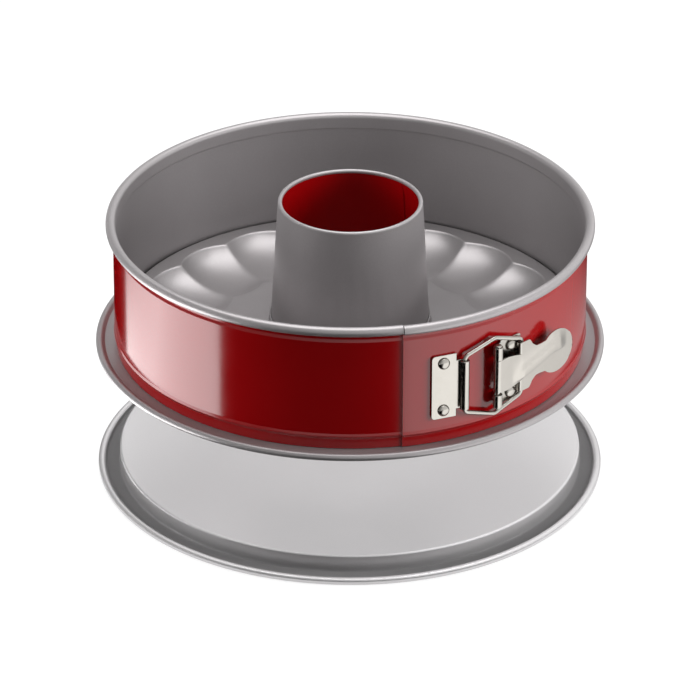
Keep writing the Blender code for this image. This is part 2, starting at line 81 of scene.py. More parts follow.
PLATE_R = 124.7 * MM
PLATE_HEIGHT = 9.6 * MM
PLATE_EDGE = 4.0 * MM            # width of the plate's outermost ring of faces
PLATE_RINGS = (0.0, 40 * MM, 80 * MM)    # radii that divide the rest of it
PLATE_FILLET = 1.2 * MM
FOOT_FILLET = 1.0 * MM
BEAD_FILLET = 0.8 * MM
INNER_FILLET = 0.5 * MM          # of the same bends, on the underside
BASE_SHEET = 0.8 * MM
FLANGE_R = PLATE_R + 7.0 * MM    # where the flat flange starts to rise to the bead
BEAD_RING_R = FLANGE_R + 2.8 * MM
PLATE_FACETS = 288
PEEL = 2.5 * MM                  # waves of the sprayed coats
FLAKE = 0.9 * MM                 # the real metal flake is far finer; drawn as coarse as it needs to show
MOTTLE = 30 * MM                 # faint clouds in the coat


def linear(code):
    """An sRGB hex colour as linear red, green, blue and alpha."""
    shares = [int(code[k:k + 2], 16) / 255 for k in (1, 3, 5)]
    return [c / 12.92 if c <= 0.04045 else ((c + 0.055) / 1.055) ** 2.4 for c in shares] + [1.0]


def add(tree, kind, inputs=None, **settings):
    """Adds a node. Inputs gives each socket a value, or the output that is linked to it."""
    made = tree.nodes.new(kind)
    for name, value in settings.items():
        setattr(made, name, value)
    for socket, value in (inputs or {}).items():
        if isinstance(value, bpy.types.NodeSocket):
            tree.links.new(value, made.inputs[socket])
        else:
            made.inputs[socket].default_value = value
    return made


def new_material(name):
    made = bpy.data.materials.new(name)
    made.use_nodes = True
    made.node_tree.nodes.clear()
    return made


def nonstick(name, light, dark, roughness, metallic):
    """Non-stick lacquer with metal flake, sprayed on steel: satin, faintly mottled, with a soft sheen."""
    made = new_material(name)
    tree = made.node_tree
    place = add(tree, "ShaderNodeTexCoord").outputs["Object"]
    flake = add(tree, "ShaderNodeTexNoise", {"Vector": place, "Scale": 1 / FLAKE, "Detail": 2.0})
    cloud = add(tree, "ShaderNodeTexNoise", {"Vector": place, "Scale": 1 / MOTTLE, "Detail": 3.0})
    spots = {0: flake.outputs["Fac"], 1: cloud.outputs["Fac"], 2: 0.25}
    mixed = add(tree, "ShaderNodeMath", spots, operation="MULTIPLY_ADD")
    shades = {"Factor": mixed.outputs[0], "A": linear(dark), "B": linear(light)}
    colour = add(tree, "ShaderNodeMix", shades, data_type="RGBA")
    shine = {"Value": cloud.outputs["Fac"], 3: roughness - 0.04, 4: roughness + 0.04}
    gloss = add(tree, "ShaderNodeMapRange", shine)
    peel = add(tree, "ShaderNodeTexNoise", {"Vector": place, "Scale": 1 / PEEL, "Detail": 1.0})
    waves = {"Height": peel.outputs["Fac"], "Distance": 0.02 * MM, "Strength": 0.3}
    bump = add(tree, "ShaderNodeBump", waves)
    shader = add(tree, "ShaderNodeBsdfPrincipled", {
        "Base Color": colour.outputs["Result"], "Roughness": gloss.outputs["Result"],
        "Normal": bump.outputs["Normal"], "Metallic": metallic, "IOR": 1.45,
    })
    add(tree, "ShaderNodeOutputMaterial", {"Surface": shader.outputs["BSDF"]})
    return made


def arc(centre, radius, start, end, pieces):
    """Points of an arc in an outline, between two angles in degrees."""
    turns = [math.radians(start + (end - start) * k / pieces) for k in range(pieces + 1)]
    return [(centre[0] + radius * math.cos(t), centre[1] + radius * math.sin(t)) for t in turns]


def rounded(corners, radii, closed=True, step=9.0):
    """Points of an outline with its corners rounded; step is about how many degrees a facet turns."""
    points = []
    count = len(corners)
    for k, radius in enumerate(radii):
        here = Vector(corners[k])
        if radius == 0 or (not closed and k in (0, count - 1)):
            points.append(here)
            continue
        back = (Vector(corners[k - 1]) - here).normalized()
        ahead = (Vector(corners[(k + 1) % count]) - here).normalized()
        half = back.angle(ahead) / 2
        centre = here + (back + ahead).normalized() * (radius / math.sin(half))
        start = here + back * (radius / math.tan(half)) - centre
        end = here + ahead * (radius / math.tan(half)) - centre
        facets = max(2, math.ceil(math.degrees(math.pi - 2 * half) / step))
        points += [centre + start.lerp(end, k / facets).normalized() * radius for k in range(facets + 1)]
    return points


def new_piece(name, bm, finishes):
    """Turns finished mesh work into an object with smooth faces."""
    bmesh.ops.recalc_face_normals(bm, faces=bm.faces)
    mesh = bpy.data.meshes.new(name)
    bm.to_mesh(mesh)
    bm.free()
    mesh.shade_smooth()
    for finish in finishes:
        mesh.materials.append(finish)
    piece = bpy.data.objects.new(name, mesh)
    bpy.context.scene.collection.objects.link(piece)
    return piece


def skin(name, rows, finishes, around=True, closed=True, finish_of=None):
    """Quads between rows of points. Around joins the last row to the first; closed joins each row's ends."""
    bm = bmesh.new()
    lines = [[bm.verts.new(point) for point in row] for row in rows]
    count = len(rows[0])
    for first, second in zip(lines, lines[1:] + (lines[:1] if around else [])):
        for k in range(count if closed else count - 1):
            after = (k + 1) % count
            face = bm.faces.new((first[k], first[after], second[after], second[k]))
            face.material_index = finish_of[k] if finish_of else 0
    if closed and not around:
        for line in (lines[0], lines[-1]):
            bm.faces.new(line)
    bmesh.ops.remove_doubles(bm, verts=bm.verts, dist=0.001 * MM)
    piece = new_piece(name, bm, finishes)
    piece.data.set_sharp_from_angle(angle=math.radians(40))
    return piece


def turned(name, outline, finishes, facets):
    """An outline of (radius, height) points, turned about the Z axis. It starts and ends on the axis."""
    rows = []
    for k in range(facets):
        turn = math.tau * k / facets
        rows.append([(r * math.cos(turn), r * math.sin(turn), z) for r, z in outline])
    return skin(name, rows, finishes, closed=False)


def raised(outline, level):
    return [(r, z + level) for r, z in outline]


def plate_rim():
    """From the flat top of the raised plate down its wall, over the flange and round the rolled bead."""
    roll = arc((BEAD_RING_R, 0.0), BEAD_R, 135, -135, 30)
    plate_edge = [(PLATE_R - PLATE_EDGE, PLATE_HEIGHT), (PLATE_R, PLATE_HEIGHT)]
    corners = plate_edge + [(PLATE_R, 0.0), (FLANGE_R, 0.0), roll[0]]
    return rounded(corners, [0.0, PLATE_FILLET, FOOT_FILLET, BEAD_FILLET, 0.0], closed=False)[:-1] + roll


def plate_underside():
    """From the bead back under the flange and up inside the plate's wall."""
    inner = PLATE_R - BASE_SHEET
    under_plate = PLATE_HEIGHT - BASE_SHEET
    corners = [(FLANGE_R, -BASE_SHEET), (inner, -BASE_SHEET)]
    corners += [(inner, under_plate), (inner - PLATE_EDGE, under_plate)]
    return rounded(corners, [0.0, INNER_FILLET, INNER_FILLET, 0.0], closed=False)


# Pale non-stick coating: a light, silvery satin with hardly any colour
pale_nonstick = nonstick("pale_nonstick_on_steel", "#D9D7D8", "#CFCDCE", 0.38, 0.75)
top = [(r, PLATE_HEIGHT) for r in PLATE_RINGS] + plate_rim()
below = plate_underside() + [(r, PLATE_HEIGHT - BASE_SHEET) for r in (PLATE_RINGS[-1], 0.0)]
flat_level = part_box("flat_base")[0][2] + BEAD_R
flat_base = turned("flat_base_pressing", raised(top + below, flat_level), [pale_nonstick], PLATE_FACETS)
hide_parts("flat_base")
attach(flat_base, "flat_base")


# Fluted base
# The same flange and plate, but twenty long hollows are pressed into the plate round a flat floor, and the
# floor's hole is drawn up into a collar for the tube. Darker grey non-stick, taken to be alike underneath.

FLUTES = 20
FLUTE_TURN = 1.6                 # degrees from +X to the first ridge
FLUTE_CENTRE_R = 85.0 * MM       # lowest place of a hollow
FLUTE_REACH_OUT = 34.0 * MM      # a hollow runs out far and softly, and ends short and steep at the floor
FLUTE_REACH_IN = 19.6 * MM
FLUTE_STEEPNESS_IN = 2.4
FLUTE_HALF_WIDTH = 31.3 * MM
FLUTE_HALF_DEPTH = 16.5 * MM
FLUTE_TOP = 15.3 * MM            # level of the hollows' centres
FLOOR_HEIGHT = 1.0 * MM
FLOOR_R = 85.0 * MM              # beyond this only the hollows reach down to the floor
RIDGE_SOFTNESS = 0.3 * MM
CREASE_WIDTH = 1.6 * MM          # to either side of a hollow's ends the facets are narrower
COLLAR_HEIGHT = 14.5 * MM
COLLAR_FILLET = 1.6 * MM
COLLAR_EDGE = 0.35 * MM
COLLAR_FOOT = 8.0 * MM           # width of the flat ring round the collar
TUBE_FOOT_R = 43.2 * MM
TUBE_TAPER = 0.0565              # loss of radius for each unit of height
FIT = 0.3 * MM                   # clearance between pieces
FLUTE_FACETS = 20                # across a flute


def tube_radius(height):
    return TUBE_FOOT_R - TUBE_TAPER * height


def flute_level(radius, off_centre):
    """Height of one hollow's surface, or of its centre outside it."""
    beyond = radius * math.cos(off_centre) - FLUTE_CENTRE_R
    if beyond > 0:
        along = (beyond / FLUTE_REACH_OUT) ** 2
    else:
        along = (-beyond / FLUTE_REACH_IN) ** FLUTE_STEEPNESS_IN
    across = (radius * math.sin(off_centre) / FLUTE_HALF_WIDTH) ** 2
    return FLUTE_TOP - FLUTE_HALF_DEPTH * math.sqrt(max(0.0, 1.0 - along - across))


def flute_end(off_centre, level, outside):
    """Radius at which a hollow meets a level, between its lowest place and a radius outside it."""
    inside = FLUTE_CENTRE_R
    for _ in range(24):
        middle = (inside + outside) / 2
        if flute_level(middle, off_centre) < level:
            inside = middle
        else:
            outside = middle
    return inside


def pressed_level(radius, off_centre):
    """The lowest of plate, floor and hollows, with the creases between them rounded."""
    pitch = math.tau / FLUTES
    levels = [flute_level(radius, off_centre + turn) for turn in (-pitch, 0.0, pitch)]
    levels += [PLATE_HEIGHT, FLOOR_HEIGHT + max(0.0, radius - FLOOR_R)]
    lowest = min(levels)
    return lowest - RIDGE_SOFTNESS * math.log(sum(math.exp((lowest - z) / RIDGE_SOFTNESS) for z in levels))


def fluted_outline(turn):
    """The base's closed outline at one angle from the first ridge."""
    pitch = math.tau / FLUTES
    off_centre = turn % pitch - pitch / 2
    near = flute_end(off_centre, FLOOR_HEIGHT, FLUTE_CENTRE_R - FLUTE_REACH_IN)
    far = flute_end(off_centre, PLATE_HEIGHT, FLUTE_CENTRE_R + FLUTE_REACH_OUT)
    neck = tube_radius(COLLAR_HEIGHT) + FIT
    foot = tube_radius(FLOOR_HEIGHT) + FIT
    start = foot + COLLAR_FOOT
    corners = [(neck, COLLAR_HEIGHT), (neck + BASE_SHEET, COLLAR_HEIGHT)]
    corners += [(foot + BASE_SHEET, FLOOR_HEIGHT), (start, FLOOR_HEIGHT)]
    collar = rounded(corners, [0.0, COLLAR_EDGE, COLLAR_FILLET, 0.0], closed=False)
    first, last = near - CREASE_WIDTH, far - CREASE_WIDTH
    radii = [start + (first - start) * k / 6 for k in range(1, 6)]
    radii += [first + CREASE_WIDTH * k / 3 for k in range(6)]
    radii += [near + CREASE_WIDTH + (last - near - CREASE_WIDTH) * k / 24 for k in range(24)]
    radii += [last + CREASE_WIDTH * k / 3 for k in range(7)]
    pressed = [(radius, pressed_level(radius, off_centre)) for radius in radii]
    lower = [(radius, z - BASE_SHEET) for radius, z in reversed(pressed)]
    under_floor = FLOOR_HEIGHT - BASE_SHEET
    under_collar = [(foot + COLLAR_FILLET, under_floor), (foot, under_floor + COLLAR_FILLET)]
    return collar + pressed + plate_rim() + plate_underside() + lower + under_collar


# Grey non-stick coating: a middle grey satin, a shade warmer and less silvery than the pale one
grey_nonstick = nonstick("grey_nonstick_on_steel", "#A9A5A6", "#9A9697", 0.36, 0.55)
rows = []
for k in range(FLUTES * FLUTE_FACETS):
    turn = math.tau * k / (FLUTES * FLUTE_FACETS)
    place = turn + math.radians(FLUTE_TURN)
    outline = raised(fluted_outline(turn), pan_level)
    rows.append([(r * math.cos(place), r * math.sin(place), z) for r, z in outline])
fluted_base = skin("fluted_base_pressing", rows, [grey_nonstick])
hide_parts("savarin_base")
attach(fluted_base, "pan")


# Centre tube
# A strip of 0.7 mm steel rolled to a cone with a butted seam up its inside, a small bead round its mouth and
# a foot under the base's collar, which it fills tightly. Grey non-stick outside and on the bead, red inside.

TUBE_SHEET = 0.7 * MM
TUBE_TOP = 80.2 * MM             # centre of the bead
TUBE_BEAD_R = 1.15 * MM
TUBE_BEAD_INSET = 1.2 * MM       # the bead is drawn in, so that the cake slides off over it
TUBE_NECK = 9.0 * MM             # from the bead's centre down to the plain taper
TUBE_FLANGE = 3.3 * MM
TUBE_FOOT_FILLET = 0.3 * MM
TUBE_INNER_FILLET = 0.8 * MM
TUBE_FACET = 1.5                 # degrees
TUBE_SEAM = 41.5                 # degrees from +X
SEAM_WIDTH = 0.9                 # degrees to either side
SEAM_DEPTH = 0.55 * MM
LACQUER_CLOUD = 45 * MM          # slow change of the lacquer's depth

# Stove enamel red: a smooth hard lacquer, deep red, with a clear reflection and the faintest orange peel
red_lacquer = new_material("red_stoved_lacquer")
tree = red_lacquer.node_tree
place = add(tree, "ShaderNodeTexCoord").outputs["Object"]
peel = add(tree, "ShaderNodeTexNoise", {"Vector": place, "Scale": 1 / PEEL, "Detail": 1.0})
cloud = add(tree, "ShaderNodeTexNoise", {"Vector": place, "Scale": 1 / LACQUER_CLOUD, "Detail": 2.0})
shades = {"Factor": cloud.outputs["Fac"], "A": linear("#8E0407"), "B": linear("#98050A")}
depth = add(tree, "ShaderNodeMix", shades, data_type="RGBA")
bump = add(tree, "ShaderNodeBump", {"Height": peel.outputs["Fac"], "Distance": 0.01 * MM, "Strength": 0.2})
gloss = add(tree, "ShaderNodeMapRange", {"Value": cloud.outputs["Fac"], 3: 0.12, 4: 0.17})
shader = add(tree, "ShaderNodeBsdfPrincipled", {
    "Base Color": depth.outputs["Result"], "Roughness": gloss.outputs["Result"],
    "Normal": bump.outputs["Normal"], "IOR": 1.6,
})
add(tree, "ShaderNodeOutputMaterial", {"Surface": shader.outputs["BSDF"]})

mouth = (tube_radius(TUBE_TOP) - TUBE_BEAD_INSET, TUBE_TOP)
neck_level = TUBE_TOP - TUBE_NECK
waist_level = neck_level / 2
foot_top = FLOOR_HEIGHT - BASE_SHEET - FIT
foot_low = foot_top - BASE_SHEET
outside = arc(mouth, TUBE_BEAD_R, 250, -10, 26) + rounded(
    [
        (tube_radius(neck_level), neck_level),
        (tube_radius(waist_level), waist_level),
        (tube_radius(foot_top), foot_top),
        (tube_radius(foot_top) + TUBE_FLANGE, foot_top),
    ],
    [0.0, 0.0, TUBE_FOOT_FILLET, 0.0], closed=False,
)
inside = rounded(
    [
        (tube_radius(foot_low) + TUBE_FLANGE, foot_low),
        (tube_radius(foot_low) - TUBE_SHEET, foot_low),
        (tube_radius(waist_level) - TUBE_SHEET, waist_level),
        (tube_radius(neck_level) - TUBE_SHEET, neck_level),
    ],
    [0.0, TUBE_INNER_FILLET, 0.0, 0.0], closed=False,
)
turns = [TUBE_FACET * k for k in range(round(360 / TUBE_FACET))]
turns = [t for t in turns if abs(t - TUBE_SEAM) > SEAM_WIDTH]
turns += [TUBE_SEAM + SEAM_WIDTH * k for k in (-1.0, -0.5, -0.2, 0.0, 0.2, 0.5, 1.0)]
rows = []
for degrees in sorted(turns):
    turn = math.radians(degrees)
    groove = SEAM_DEPTH if abs(degrees - TUBE_SEAM) < SEAM_WIDTH * 0.6 else 0.0
    row = outside + [(r + groove, z) for r, z in inside]
    rows.append([(r * math.cos(turn), r * math.sin(turn), z + pan_level) for r, z in row])
sides = [0] * len(outside) + [1] * len(inside)
centre_tube = skin("centre_tube_cone", rows, [grey_nonstick, red_lacquer], finish_of=sides)
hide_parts("centre_tube")
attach(centre_tube, "pan")


# Ring band
# One strip of 0.6 mm spring steel rolled to a circle. Its wide middle panel stands out a little, its top edge
# is rolled outwards to a bead, and its outer end laps over the plain inner end where the latch pulls it shut.
# The strip is red lacquer outside and grey non-stick inside, which the rolled bead carries round to the rim.

RING_INNER_R = 125.0 * MM
RING_SHEET = 0.6 * MM
RING_HEIGHT = 71.7 * MM
RIM_BEAD_R = 2.6 * MM
RIM_JOIN_INSIDE = 0.4 * MM       # the band's two faces end this far below the bead's centre
RIM_JOIN_OUTSIDE = RIM_BEAD_R * 0.95
PANEL_RISE = 0.8 * MM
SHOULDER_Z = 62.8 * MM           # upper edge of the panel, above the base's flange
SHOULDER_HEIGHT = 1.1 * MM
RIDGE_TOP = 9.2 * MM             # lower edge of the panel, where a narrow ridge stands out further
RIDGE_RISE = 0.4 * MM
RIDGE_HEIGHT = 3.4 * MM
STEP_FILLET = 0.9 * MM
LAP_START = 12.4                 # degrees from the front
LAP_LENGTH = 5.6
LAP_EASE = (50.0, 77.0)          # degrees over which the outer end comes back to the circle
LAP_GAP = 0.2 * MM
BAND_FACET = 1.25                # degrees
TONGUE_TRIM = 0.05 * MM          # the inner end is this much thinner on both sides
TONGUE_OVERLAP = 1.0             # degrees that it is drawn into the band, which it is one with
TONGUE_FACETS = 6

band_middle = RING_INNER_R + RING_SHEET / 2
lap_rise = RING_SHEET + LAP_GAP
rim_centre = (RING_INNER_R + RIM_BEAD_R, FIT + RING_HEIGHT - RIM_BEAD_R)


def polar(radius, degrees, z):
    """A point at an angle measured from the front (-Y) towards +X."""
    turn = math.radians(degrees)
    return Vector((radius * math.sin(turn), -radius * math.cos(turn), z))


def wall_face(side, top, trim=0.0):
    """One face of the band from the bottom up: side is -1 inside and +1 outside."""
    face = band_middle + side * (RING_SHEET / 2 - trim)
    panel = face + PANEL_RISE
    ridge = (panel + RIDGE_RISE, RIDGE_TOP - RIDGE_HEIGHT / 2)
    corners = [
        (face, FIT), (face, RIDGE_TOP - RIDGE_HEIGHT), ridge, (panel, RIDGE_TOP),
        (panel, SHOULDER_Z), (face, SHOULDER_Z + SHOULDER_HEIGHT), (face, top),
    ]
    return rounded(corners, [0.0] + [STEP_FILLET] * 5 + [0.0], closed=False, step=4.0)


def band_rise(degrees):
    """How far the band runs outside its circle, so that its outer end clears the lapped one."""
    share = min(max((degrees - LAP_EASE[0]) / (LAP_EASE[1] - LAP_EASE[0]), 0.0), 1.0)
    return lap_rise * (1.0 - share * share * (3.0 - 2.0 * share))


def band_rows(outline, angles):
    return [[polar(r + band_rise(turn), turn, z + pan_level) for r, z in outline] for turn in angles]


coats = [grey_nonstick, red_lacquer]
bead = arc(rim_centre, RIM_BEAD_R, 180, -140, 36)
inner_face = wall_face(-1, rim_centre[1] - RIM_JOIN_INSIDE)
outer_face = list(reversed(wall_face(1, rim_centre[1] - RIM_JOIN_OUTSIDE)))
seam_gap = math.degrees(FIT / rim_centre[0])
band_end = 360.0 + LAP_START - seam_gap
count = round((band_end - LAP_START) / BAND_FACET)
angles = [LAP_START + (band_end - LAP_START) * k / count for k in range(count + 1)]
rows = band_rows(inner_face + bead + outer_face, angles)
sides = [0] * (len(inner_face) + len(bead) - 1) + [1] * len(outer_face) + [0]
ring_band = skin("ring_band_strip", rows, coats, around=False, finish_of=sides)

tongue_top = rim_centre[1] - RIM_BEAD_R
tongue = wall_face(-1, tongue_top, TONGUE_TRIM) + list(reversed(wall_face(1, tongue_top, TONGUE_TRIM)))
start = band_end - TONGUE_OVERLAP
facet = (LAP_LENGTH + TONGUE_OVERLAP) / TONGUE_FACETS
rows = band_rows(tongue, [start + facet * k for k in range(TONGUE_FACETS + 1)])
sides = [0] * (len(tongue) // 2) + [1] * (len(tongue) // 2)
inner_end = skin("ring_band_inner_end", rows, coats, around=False, finish_of=sides)
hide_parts("ring_band")
for piece in (ring_band, inner_end):
    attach(piece, "ring")


# Hinge plate and lever bracket
# Two fittings stamped from 1 mm steel strip and nickel plated, each riveted to one end of the band. The hinge
# plate's edge is rolled into a knuckle for the wire, the bracket's into two lugs for the lever's pin.

LATCH_Z = 33.1 * MM              # level of the latch's middle above the fluted base's flange
PLATE_SHEET = 1.0 * MM
FITTING_WIDTH = 13.4 * MM
FITTING_HEIGHT = 36.8 * MM
FITTING_CORNER = 2.0 * MM
STAMPED_EDGE = 0.2 * MM
KNUCKLE_HEIGHT = 28.2 * MM
WIRE_R = 1.2 * MM
HINGE_AXIS = 27.1                # degrees from the front to the wire's hinge and to the lever's pin
PIN_AXIS = 35.5
HINGE_RISE = 3.0 * MM            # distance of each axis from the wall
PIN_RISE = 4.9 * MM
PLATE_TO_AXIS = 4.3 * MM         # from a fitting's flat part to the axis of its roll
ROLL_START = 0.4 * MM            # the sheet lifts from the wall this far beyond its flat part
ROLL_TURN = 280.0                # degrees of roll
LUG_INNER = 10.3 * MM            # the lugs' ends, from the latch's middle
LUG_OUTER = 17.5 * MM
RUB = 1.2 * MM                   # the press leaves finer lines; drawn as coarse as they need to show
HAZE = 9 * MM                    # slow change of the plating's tone

# Bright nickel plate on steel: warm white metal, drawn smooth by the press, faintly rubbed along its length
nickel = new_material("nickel_plated_steel")
tree = nickel.node_tree
place = add(tree, "ShaderNodeTexCoord").outputs["Object"]
long_way = add(tree, "ShaderNodeMapping", {"Vector": place, "Scale": (1.0, 1.0, 0.15)}).outputs["Vector"]
rub = add(tree, "ShaderNodeTexNoise", {"Vector": long_way, "Scale": 1 / RUB, "Detail": 3.0})
haze = add(tree, "ShaderNodeTexNoise", {"Vector": place, "Scale": 1 / HAZE, "Detail": 2.0})
tones = {"Factor": haze.outputs["Fac"], "A": linear("#AEAAA3"), "B": linear("#B6B2AC")}
tint = add(tree, "ShaderNodeMix", tones, data_type="RGBA")
gloss = add(tree, "ShaderNodeMapRange", {"Value": rub.outputs["Fac"], 3: 0.17, 4: 0.25})
bump = add(tree, "ShaderNodeBump", {"Height": haze.outputs["Fac"], "Distance": 0.02 * MM, "Strength": 0.3})
shader = add(tree, "ShaderNodeBsdfPrincipled", {
    "Base Color": tint.outputs["Result"], "Roughness": gloss.outputs["Result"],
    "Normal": bump.outputs["Normal"], "Metallic": 1.0,
})
add(tree, "ShaderNodeOutputMaterial", {"Surface": shader.outputs["BSDF"]})

wall_r = RING_INNER_R + PANEL_RISE + RING_SHEET + lap_rise
latch_level = pan_level + LATCH_Z


def on_wall(degrees):
    """Turns a drawing frame, X along the wall and Y outwards from the axis, to its place on the ring."""
    turn = math.radians(degrees)
    along = Vector((math.cos(turn), math.sin(turn), 0.0))
    outward = Vector((math.sin(turn), -math.cos(turn), 0.0))
    axes = Matrix((along, outward, Vector((0.0, 0.0, 1.0)))).transposed().to_4x4()
    return Matrix.Translation((0.0, 0.0, latch_level)) @ axes


def rivet_line(axis_angle, side):
    """Angle of a fitting's middle line, from the angle of its rolled edge."""
    return axis_angle - side * math.degrees((FITTING_WIDTH / 2 + PLATE_TO_AXIS) / wall_r)


def thicken(piece, sheet, edge):
    """Gives a bent surface its sheet's thickness and the slightly rounded edges that stamping leaves."""
    shell = piece.modifiers.new("sheet", "SOLIDIFY")
    shell.thickness = sheet
    shell.offset = 0.0
    shell.use_even_offset = True
    soft = piece.modifiers.new("edge", "BEVEL")
    soft.width = edge
    soft.segments = 3
    soft.limit_method = "ANGLE"
    soft.angle_limit = math.radians(50)
    soft.harden_normals = True


def fitting(name, axis_angle, axis_rise, side, lines, rolled):
    """A plate with a rolled edge. Lines are heights that divide it into bands, and rolled names the bands
    that go on into the roll."""
    middle = rivet_line(axis_angle, side)
    turn = math.radians(axis_angle - middle)
    axis = ((wall_r + axis_rise) * math.sin(turn), (wall_r + axis_rise) * math.cos(turn))
    level = wall_r + FIT + PLATE_SHEET / 2
    reach = FITTING_WIDTH / 2
    roll = WIRE_R + FIT + PLATE_SHEET / 2
    flat = [(-side * reach, level), (0.0, level), (side * (reach + ROLL_START), level)]
    path = flat + arc(axis, roll, 270, 270 + side * ROLL_TURN, 28)
    bm = bmesh.new()
    verts = [[bm.verts.new((x, y, z)) for z in lines] for x, y in path]
    for k, (first, second) in enumerate(zip(verts, verts[1:])):
        for band in range(len(lines) - 1):
            if k < len(flat) - 1 or band in rolled:
                bm.faces.new((first[band], first[band + 1], second[band + 1], second[band]))
    corners = [verts[0][0], verts[0][-1]]
    bmesh.ops.bevel(bm, geom=corners, offset=FITTING_CORNER, segments=6, affect="VERTICES", profile=0.5)
    bmesh.ops.delete(bm, geom=[vert for vert in bm.verts if not vert.link_faces], context="VERTS")
    plate = new_piece(name, bm, [nickel])
    plate.matrix_world = on_wall(middle)
    thicken(plate, PLATE_SHEET, STAMPED_EDGE)
    return plate


edge = FITTING_HEIGHT / 2
knuckle = KNUCKLE_HEIGHT / 2
lines = [-edge, -knuckle, knuckle, edge]
hinge_plate = fitting("hinge_plate_stamping", HINGE_AXIS, HINGE_RISE, 1, lines, (1,))
lines = [-edge, -LUG_OUTER, -LUG_INNER, LUG_INNER, LUG_OUTER, edge]
lever_bracket = fitting("lever_bracket_stamping", PIN_AXIS, PIN_RISE, -1, lines, (1, 3))
for piece, replaced in ((hinge_plate, "hinge_plate"), (lever_bracket, "lever_bracket")):
    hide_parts(replaced)
    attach(piece, "ring")


# Rivets
# Four domed steel rivets, two through each fitting. The head is outside, and the tail is pressed flat against
# the inside of the band, where it shows as a low round button.

RIVET_SPACING = 27.4 * MM
RIVET_SHANK_R = 1.5 * MM
RIVET_HEAD_R = 3.2 * MM
RIVET_HEAD_H = 1.7 * MM
RIVET_TAIL_R = 2.6 * MM
RIVET_TAIL_H = 0.8 * MM
RIVET_FACETS = 48

head = wall_r + 2 * FIT + PLATE_SHEET
tail = wall_r - RING_SHEET - FIT
tail_end = tail - RIVET_TAIL_H
dome = [(x * RIVET_HEAD_R, head + y * RIVET_HEAD_H) for x, y in arc((0.0, 0.0), 1.0, 90, 0, 16)]
corners = [(RIVET_SHANK_R, tail), (RIVET_TAIL_R, tail), (RIVET_TAIL_R * 0.9, tail_end), (0.0, tail_end)]
button = rounded(corners, [0.0, 0.15 * MM, 0.3 * MM, 0.0], closed=False)
rivet = dome + [(RIVET_SHANK_R, head)] + button
for stem, axis_angle, side in (("hinge", HINGE_AXIS, 1), ("bracket", PIN_AXIS, -1)):
    for word, height in (("upper", RIVET_SPACING / 2), ("lower", -RIVET_SPACING / 2)):
        outward = polar(1.0, rivet_line(axis_angle, side), 0.0)
        piece = turned(f"{stem}_rivet_{word}_dome", rivet, [nickel], RIVET_FACETS)
        aim = outward.to_track_quat("Z", "X").to_matrix().to_4x4()
        piece.matrix_world = Matrix.Translation((0.0, 0.0, latch_level + height)) @ aim
        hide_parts(f"{stem}_rivet_{word}")
        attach(piece, "ring")


# Wire bail
# A closed six-sided link of 2.4 mm plated wire. One side turns in the hinge plate's knuckle, and the lever's
# hooks pull on the opposite side.

WIRE_PLACES = (                  # degrees from the front, distance outside the wall, half height of the link
    (HINGE_AXIS, HINGE_RISE, 16.3 * MM),
    (35.2, 2.9 * MM, 22.3 * MM),
    (43.1, 3.1 * MM, 16.0 * MM),
)
WIRE_BEND_R = 3.2 * MM

half = [polar(wall_r + rise, degrees, height) for degrees, rise, height in WIRE_PLACES]
corners = half + [Vector((point.x, point.y, -point.z)) for point in reversed(half)]
path = rounded(corners, [WIRE_BEND_R] * len(corners), step=7.0)
curve = bpy.data.curves.new("wire_bail_link", "CURVE")
curve.dimensions = "3D"
curve.bevel_depth = WIRE_R
curve.bevel_resolution = 6
spline = curve.splines.new("POLY")
spline.points.add(len(path) - 1)
for point, place in zip(spline.points, path):
    point.co = (*place, 1.0)
spline.use_cyclic_u = True
curve.materials.append(nickel)
wire_bail = bpy.data.objects.new("wire_bail_link", curve)
bpy.context.scene.collection.objects.link(wire_bail)
wire_bail.location.z = latch_level
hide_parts("wire_bail")
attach(wire_bail, "bail")


# Lever
# One flat stamping of 0.8 mm plated steel. Its root is rolled round the pin, two ears bend down into hooks
# that hold the wire, and a rib pressed up its middle stiffens it out to the round thumb plate.

LEVER_SHEET = 0.8 * MM
LEVER_EDGE = 0.15 * MM
LEVER_BASE_HALF = 9.3 * MM       # half height at the pin
LEVER_PLAY = 0.7 * MM            # the lever rests this far above the latch's middle
LEVER_LIP = 1.9 * MM             # how far the ears' hooks reach down over the wire
HOOK_BEND = 0.7 * MM
EAR_START = 15.1 * MM
EAR_INNER = 7.5 * MM
# Both outlines give reach from the pin and half height in millimetres; the thumb plate's circle goes on
BODY = ((0.0, 9.3), (5.0, 9.6), (10.0, 8.8), (15.1, 7.5))
EARS = ((15.1, 12.0), (15.1, 14.2), (21.6, 14.2), (23.6, 10.8), (26.4, 8.7), (29.5, 8.6), (33.4, 9.0))
EAR_FILLETS = (0.0, 1.0, 2.0, 1.5, 2.0, 1.0, 0.0)
THUMB_R = 12.3 * MM
THUMB_REACH = 41.8 * MM
RIB_HEIGHT = 1.9 * MM
RIB_CREASE = 1.3 * MM            # width of its steep lower flank
RIB_FLANK = 7.0 * MM             # width of its soft upper flank
RIB_LOW = 5.2 * MM               # height of the crease under the lever's middle at the hooks
RIB_CLIMB = 0.29                 # its rise for each unit of length, over the length of its run
RIB_RUN = 24.0 * MM
RIB_START = (9.0 * MM, 16.0 * MM)    # reaches between which it rises from the flat sheet
RIB_END = (43.8 * MM, 48.8 * MM)     # and sinks back into it
ROOT_TURNS = range(330, 85, -12)    # degrees round the pin, from the root's free edge to the flat sheet
BODY_FACET = 0.8 * MM
EAR_FACET = 0.35 * MM
ROWS_ACROSS = 25                 # facets on each side of the middle
EAR_ROWS = 5                     # and on each ear
TIP = 4.0 * MM                   # the last stretch, where the facets get shorter towards the edge
PIN_R = WIRE_R

